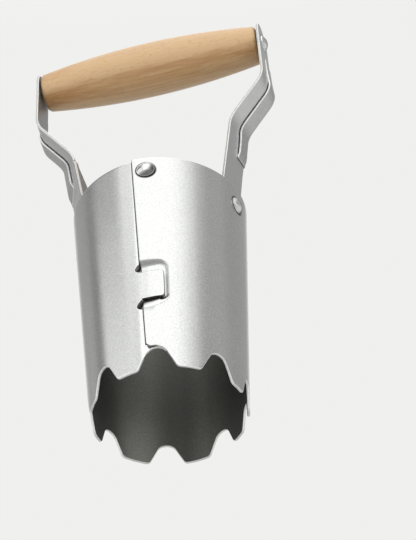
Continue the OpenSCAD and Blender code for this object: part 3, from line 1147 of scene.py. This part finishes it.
def make_grip():
    rise = GRIP_MID - GRIP_END
    arc = (GRIP_HALF ** 2 + rise ** 2) / (2 * rise)
    easing_start = GRIP_HALF - GRIP_EASING

    def barrel(x):
        return GRIP_MID - arc + sqrt(arc * arc - x * x)

    half = [(barrel(x), x) for x in steps(0, easing_start, 22)]
    for a in steps(0.18, pi / 2, 7):
        half.append((barrel(easing_start) - GRIP_EASING * (1 - cos(a)), easing_start + GRIP_EASING * sin(a)))
    half += [(5.0, GRIP_HALF), (ROD + 0.45, GRIP_HALF), (ROD + 0.15, GRIP_HALF - 0.3)]
    outline = [(r, -x) for r, x in half[::-1]] + half[1:]
    piece = turned("beech_grip", outline + outline[:1], facets=96, open_bore=True)
    stood(piece, along_grip())
    dressed(piece, "wood", "grip", "grip", BEECH, smooth=40)


# Camera, light and floor

CAMERA_YAW, CAMERA_PITCH, CAMERA_ROLL = -11.044, -43.247, 4.306
FOOT_IN_VIEW = (-14.953, -58.002, -628.298)     # the tube's foot centre, as the camera sees it
CAMERA_AZIMUTH = 13.3
SENSOR = 36
FOCAL_PIXELS = 1600
PICTURE_HEIGHT = 540                            # in pixels
AMBIENT = 0.42
BACKDROP = 0.87
BRIGHTEST = 2.0
SEEING_RAYS = ("Is Camera Ray", "Is Glossy Ray", "Is Transmission Ray")


def set_camera():
    """From below and a little to the right, as the photograph was taken."""
    turn = (Matrix.Rotation(radians(CAMERA_ROLL), 3, "Z")
            @ Matrix.Rotation(radians(CAMERA_PITCH) - pi / 2, 3, "X")
            @ Matrix.Rotation(radians(CAMERA_YAW), 3, "Z"))
    lens = bpy.data.cameras.new("camera")
    lens.sensor_width = SENSOR
    lens.lens = SENSOR * FOCAL_PIXELS / PICTURE_HEIGHT
    lens.clip_start = 0.02
    lens.clip_end = 60
    camera = bpy.data.objects.new("camera", lens)
    bpy.context.scene.collection.objects.link(camera)
    back = turn.transposed()
    camera.matrix_world = Matrix.Translation((back @ -Vector(FOOT_IN_VIEW)) * MM) @ back.to_4x4()
    bpy.context.scene.camera = camera


def light_above(x, y, rise):
    """Light from a height of rise degrees: bright panels in front, greyer sides and a pale backdrop."""
    turn = azimuth_from(x, y, 0)
    low = 38.5 - rise.most(34.5).least(38.5)        # the panels' edges lean from here down
    leant = turn - low * 4.5
    right_edge = (turn + low * 2.5).between(83, 35)
    front_left = leant.between(-46, -38) * right_edge
    front = turn.between(-24, -10) * right_edge
    left = turn.between(-84, -77) * leant.between(-40, -48)
    left_low = left * rise.between(42.2, 34.6)
    left_dark = abs(turn + 88).between(16, 4)
    far_left = abs(turn + 112).between(18, 6) * rise.between(41.5, 38.5)
    right = abs(turn - 90).between(26, 6)
    backdrop = abs(azimuth_from(x, y, CAMERA_AZIMUTH + 180)).between(31, 14)
    low_side = turn.between(96, 112) * turn.between(158, 140)
    low_side = low_side * rise.between(34, 18) * rise.between(-30, -12)
    overhead = rise.between(51, 75)
    in_front = AMBIENT + front * 0.42 + front_left * 0.74
    on_left = left_low * 0.80 - left * 0.04 - left_dark * 0.12 + far_left * 0.06
    on_right = right * 0.08 + low_side * 0.27
    return in_front + on_left + on_right + backdrop * (BACKDROP - AMBIENT) + overhead * 0.62


def light_below(x, y, rise):
    """Less light from below, but for a patch in front, deep down."""
    ahead = abs(azimuth_from(x, y, CAMERA_AZIMUTH))
    return 0.40 + ahead.between(90, 45) * rise.between(-80, -55) * 0.62


def set_world():
    """A pale studio, with an even band of the backdrop's tone round the horizon."""
    world = bpy.context.scene.world or bpy.data.worlds.new("studio")
    bpy.context.scene.world = world
    world.use_nodes = True
    tree = world.node_tree
    back = next(n for n in tree.nodes if n.type == "BACKGROUND")
    x, y, z = node(tree, "ShaderNodeTexCoord", 0).parts()
    rise = reckon("ARCSINE", z) * (180 / pi)
    above = light_above(x, y, rise) * rise.between(-14, 12)
    below = light_below(x, y, rise) * rise.between(12, -14)
    horizon = rise.between(-10, -6) * rise.between(12, 6)
    level = (above + below).most(horizon * BACKDROP)
    brightest = (BRIGHTEST, BRIGHTEST, BRIGHTEST * 0.98)
    join(tree, back.inputs["Color"], blended(tree, level / BRIGHTEST, BLACK, brightest))
    back.inputs["Strength"].default_value = 1.0


def set_floor():
    """A pale floor under the teeth, seen from above and in reflections. Soft light comes up through it."""
    clear_selection()
    bpy.ops.mesh.primitive_plane_add(size=6, location=(0, 0, -0.0004))
    floor = bpy.context.object
    floor.name = "floor"
    made = bpy.data.materials.new("pale_floor")
    made.use_nodes = True
    tree = made.node_tree
    shader = next(n for n in tree.nodes if n.type == "BSDF_PRINCIPLED")
    shader.inputs["Base Color"].default_value = (0.84, 0.84, 0.83, 1)
    shader.inputs["Roughness"].default_value = 0.7
    rays = node(tree, "ShaderNodeLightPath").socket.node.outputs
    camera, glossy, transmission = [Wire(tree, rays[kind]) for kind in SEEING_RAYS]
    seen = (camera + glossy + transmission).least(1.0)
    from_below = node(tree, "ShaderNodeNewGeometry", 6)
    clear = node(tree, "ShaderNodeBsdfTransparent")
    both = node(tree, "ShaderNodeMixShader", 0, {},
                {0: from_below.most(1 - seen), 1: Wire(tree, shader.outputs[0]), 2: clear})
    surface = next(n for n in tree.nodes if n.type == "OUTPUT_MATERIAL").inputs[0]
    join(tree, surface, both)
    floor.data.materials.append(made)


bpy.context.scene.view_settings.view_transform = "Standard"
set_camera()
set_world()
set_floor()
make_tube()
make_strap(RIGHT)
make_strap(LEFT)
for rivet in RIVETS:
    make_rivet(*rivet)
make_rod()
make_grip()
